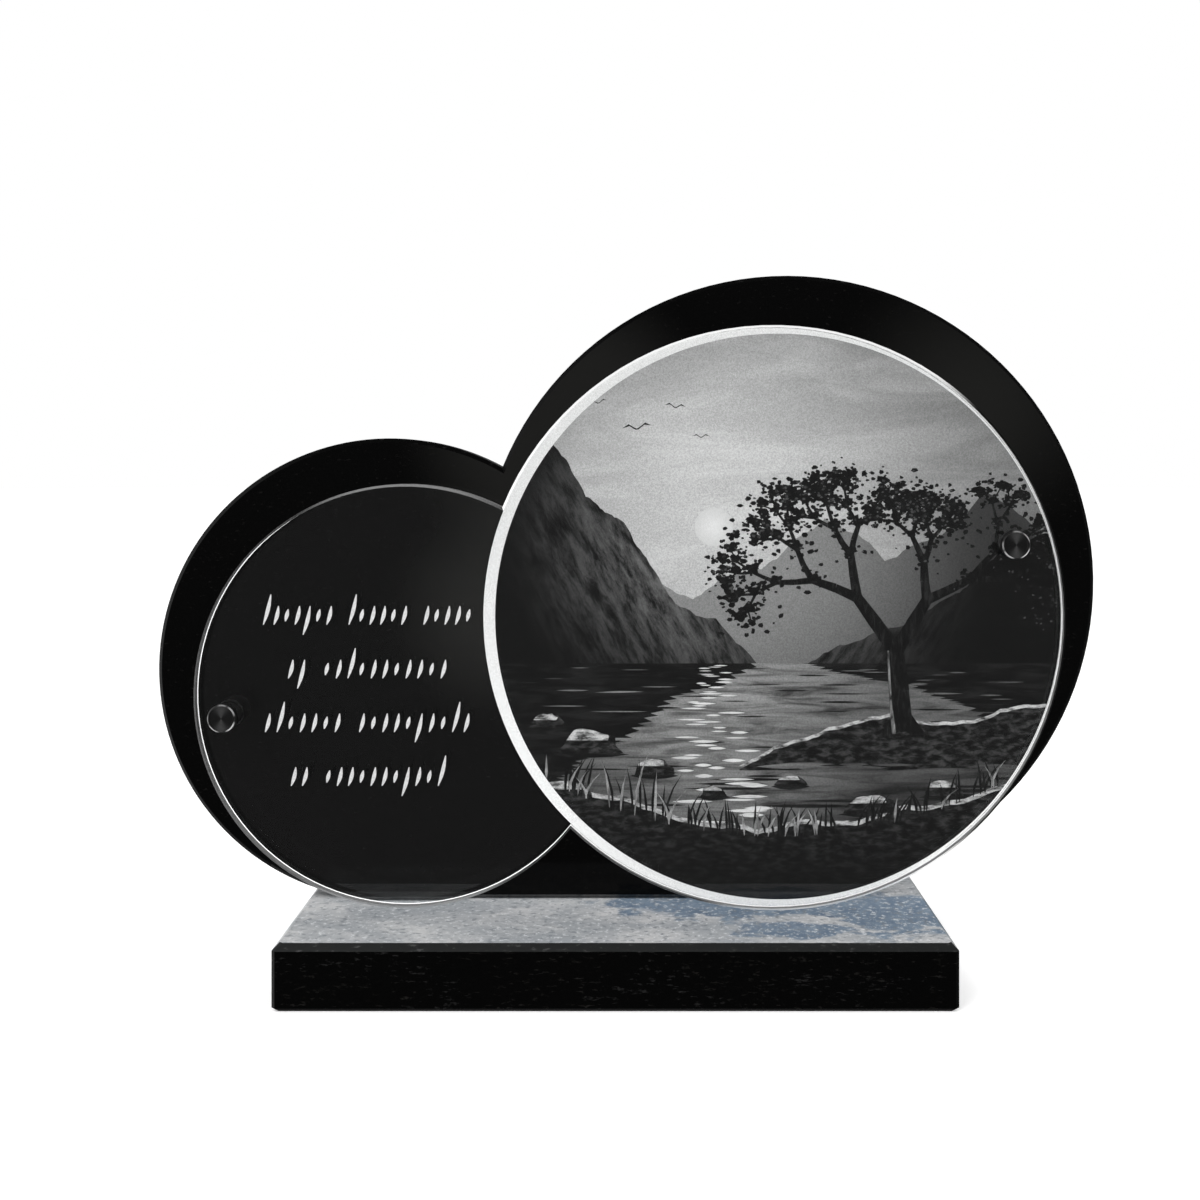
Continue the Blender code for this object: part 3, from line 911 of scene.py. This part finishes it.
def make_film():
    """One thin film on the back of the large lobe, with the picture and its white ring."""
    corners, regions, materials = film_regions()
    mesh_data = bmesh.new()
    verts = [mesh_data.verts.new(in_frame(corner) + Vector((0.0, FILM_GAP, 0.0))) for corner in corners]
    for triangle, index in regions:
        face = mesh_data.faces.new([verts[corner] for corner in triangle])
        face.material_index = index
    loose = [vert for vert in mesh_data.verts if not vert.link_faces]
    bmesh.ops.delete(mesh_data, geom=loose, context="VERTS")
    for face in mesh_data.faces:
        face.normal_update()
        if face.normal.y > 0:
            face.normal_flip()
    bmesh.ops.solidify(mesh_data, geom=list(mesh_data.faces), thickness=FILM_THICKNESS)
    bmesh.ops.recalc_face_normals(mesh_data, faces=mesh_data.faces)
    mesh = bpy.data.meshes.new("picture_film")
    mesh_data.to_mesh(mesh)
    mesh_data.free()
    for material in materials:
        mesh.materials.append(material)
    film = bpy.data.objects.new("picture_film", mesh)
    bpy.context.scene.collection.objects.link(film)
    film.visible_shadow = False
    film.visible_diffuse = False
    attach(film, "root")


def dress(name, materials, choose=None):
    """Give a node its materials, by a rule on each face, and the smooth shading of a turned or cut piece."""
    node = nodes[name]
    mesh = node.data
    mesh.materials.clear()
    for material in materials:
        mesh.materials.append(material)
    custom = mesh.attributes.get("custom_normal")
    if custom:
        mesh.attributes.remove(custom)
    for polygon in mesh.polygons:
        polygon.use_smooth = True
        if choose:
            polygon.material_index = choose(polygon)
    weld = node.modifiers.new("weld", "WELD")
    weld.merge_threshold = WELD_REACH
    split = node.modifiers.new("sharp_edges", "EDGE_SPLIT")
    split.split_angle = SHARP_ANGLE


def dress_base():
    """The top with its painted reflection of a cloudy sky, the grey chamfer before and behind it, and
    near-black sides.
    """
    edge_granite = granite("base_edge_granite", (28, 29, 29), (74, 74, 72), 0.35, 0.3)
    side_granite = granite("base_side_granite", (3, 3, 3), (30, 29, 27), 0.14, 0.10)
    side, top, chamfer = range(3)

    def choose(polygon):
        if polygon.normal.z < BEVEL:
            return side
        return chamfer if abs(polygon.normal.y) > BEVEL else top
    dress("base", [side_granite, sky_reflection_top(), edge_granite], choose)


def dress_panel():
    """The polished front, the chamfer of the foot, and plain polished sides and back."""
    plain = granite("panel_back_granite", (4, 4, 4), (24, 24, 23), 0.12, 0.10)
    front, chamfer, rest = range(3)

    def choose(polygon):
        if polygon.normal.y < -FLAT:
            return front
        return chamfer if max(polygon.normal.y, polygon.normal.z) < -SLANT else rest
    dress("panel", [panel_granite(), panel_edge_granite(), plain], choose)


def off_axis(place, x, z):
    """How far a place is from an axis that runs from front to back."""
    return math.hypot(place.x - x, place.z - z)


def dress_glass():
    """Clear faces, ground edges, and a frosted floor and wall in each stroke of the inscription."""
    # The ground edges and the ring's front bevel carry painted light and shade by the way they face.
    materials = [clear_glass(), ground_edge("ground_front_edge", 3, 80, 100, 180, 0.60),
                 back_edge("ground_back_edge"), ground_edge("ground_glass_edge", 62, 104, 112, 112, 0.0),
                 frosted_glass("frosted_strokes", 168, 204), ring_glass("ground_ring_edge"),
                 ring_edge("ground_ring_front")]
    clear, front_line, back_line, edge, frost, ring_back, ring_front = range(7)
    caps = [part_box(name) for name in ("cap_left", "cap_right")]
    holes = [(low + high) / 2 for low, high in caps]
    middle = (GLASS_FRONT + GLASS_BACK) / 2

    def choose(polygon):
        place = polygon.center
        facing = abs(polygon.normal.y)
        from_large = off_axis(place, LOBE_X, LOBE_Z)
        near_hole = any(off_axis(place, hole.x, hole.z) < HOLE_REACH for hole in holes)
        if near_hole and facing < UPRIGHT:
            return edge
        if facing > FLAT:
            return frost if GLASS_FRONT + STROKE_SINK < place.y < middle else clear
        if facing > BEVEL:
            round_picture = abs(from_large - LOBE_RADIUS) < BEVEL_REACH
            if place.y < middle:
                return ring_front if round_picture else front_line
            return ring_back if round_picture else back_line
        in_small = off_axis(place, SMALL_X, SMALL_Z) < INSCRIPTION_REACH
        return frost if in_small or from_large < LOBE_RADIUS - WALL_REACH else edge
    dress("glass_plate", materials, choose)
    nodes["glass_plate"].visible_shadow = False
    nodes["glass_plate"].visible_diffuse = False


def dress_cap(side, metal):
    """Fine rings on the cap's face, light on its bevelled edge and plain black metal behind."""
    name = "cap_" + side
    low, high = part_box(name)
    centre = (low + high) / 2
    radius = (high.x - low.x) / 2
    face, rim, body = range(3)

    def choose(polygon):
        place = polygon.center
        if place.y > low.y + CAP_FACE_DEPTH or polygon.normal.y > -FORWARD:
            return body
        return rim if off_axis(place, centre.x, centre.z) > radius - CAP_RIM_WIDTH else face
    materials = [spun_metal("spun_metal_" + side, centre), bright_rim("rim_metal_" + side, centre), metal]
    dress(name, materials, choose)


def make_camera():
    """The camera of the photo, which looks straight ahead and is shifted."""
    data = bpy.data.cameras.new("camera")
    data.lens = LENS
    data.sensor_width = SENSOR_WIDTH
    data.shift_x = SHIFT_X
    data.shift_y = SHIFT_Y
    camera = bpy.data.objects.new("camera", data)
    camera.location = CAMERA_PLACE
    camera.rotation_euler = (math.radians(90), 0.0, 0.0)
    bpy.context.scene.collection.objects.link(camera)
    bpy.context.scene.camera = camera


def make_floor():
    """A plain pale floor, which the polished pieces don't mirror."""
    mesh_data = bmesh.new()
    bmesh.ops.create_circle(mesh_data, cap_ends=True, segments=96, radius=FLOOR_RADIUS)
    mesh = bpy.data.meshes.new("floor")
    mesh_data.to_mesh(mesh)
    mesh_data.free()
    floor = bpy.data.objects.new("floor", mesh)
    floor.visible_glossy = False
    floor.visible_transmission = False
    bpy.context.scene.collection.objects.link(floor)
    finish = Finish("studio_floor", 0.9, 0.0)
    cloudy = finish.noise(finish.mapped((1, 1, 1)), 3.0)
    finish.paint(finish.mix(cloudy, (0.90, 0.90, 0.90, 1.0), (0.92, 0.92, 0.92, 1.0)))
    finish.shader.inputs["Emission Color"].default_value = (1.0, 1.0, 1.0, 1.0)
    finish.shader.inputs["Emission Strength"].default_value = FLOOR_GLOW
    mesh.materials.append(finish.material)


def make_world():
    """A white studio: even light for matt faces, and dim walls with one bright side for glossy ones."""
    world = bpy.data.worlds.new("studio")
    bpy.context.scene.world = world
    world.use_nodes = True
    tree = world.node_tree
    tree.nodes.clear()
    make = tree.nodes.new
    link = tree.links.new
    place = make("ShaderNodeTexCoord")
    parts = make("ShaderNodeSeparateXYZ")
    link(place.outputs["Generated"], parts.inputs[0])
    left = make("ShaderNodeMapRange")
    left.interpolation_type = "SMOOTHSTEP"
    left.inputs["From Min"].default_value = WALL_START
    left.inputs["From Max"].default_value = WALL_FULL
    left.inputs["To Min"].default_value = DIM_WALLS
    left.inputs["To Max"].default_value = BRIGHT_WALL
    link(parts.outputs["X"], left.inputs["Value"])
    path = make("ShaderNodeLightPath")
    backgrounds = {}
    for kind in ("seen", "mirrored", "even"):
        backgrounds[kind] = make("ShaderNodeBackground")
        backgrounds[kind].inputs["Color"].default_value = (1.0, 1.0, 1.0, 1.0)
        backgrounds[kind].inputs["Strength"].default_value = 1.0
    link(left.outputs["Result"], backgrounds["mirrored"].inputs["Strength"])
    reflected = make("ShaderNodeMixShader")
    link(path.outputs["Glossy Depth"], reflected.inputs["Fac"])
    link(backgrounds["seen"].outputs[0], reflected.inputs[1])
    link(backgrounds["mirrored"].outputs[0], reflected.inputs[2])
    whole = make("ShaderNodeMixShader")
    link(path.outputs["Diffuse Depth"], whole.inputs["Fac"])
    link(reflected.outputs[0], whole.inputs[1])
    link(backgrounds["even"].outputs[0], whole.inputs[2])
    output = make("ShaderNodeOutputWorld")
    link(whole.outputs[0], output.inputs["Surface"])


def make_light(name, place, size, energy):
    """A round soft light aimed at the plaque."""
    data = bpy.data.lights.new(name, "AREA")
    data.shape = "DISK"
    data.size = size
    data.energy = energy
    light = bpy.data.objects.new(name, data)
    light.location = place
    aim = LIGHT_AIM - Vector(place)
    light.rotation_euler = aim.to_track_quat("-Z", "Y").to_euler()
    light.visible_glossy = False
    bpy.context.scene.collection.objects.link(light)


make_camera()
make_floor()
make_world()
for light in LIGHTS:
    make_light(*light)
bpy.context.scene.view_settings.view_transform = "Standard"

dress_base()
dress_panel()
dress_glass()
black = black_metal()
seal = black_seal()
for side in ("left", "right"):
    dress_cap(side, black)
    dress("barrel_" + side, [black])
    dress("gasket_front_" + side, [seal])
    dress("gasket_rear_" + side, [seal])
make_film()
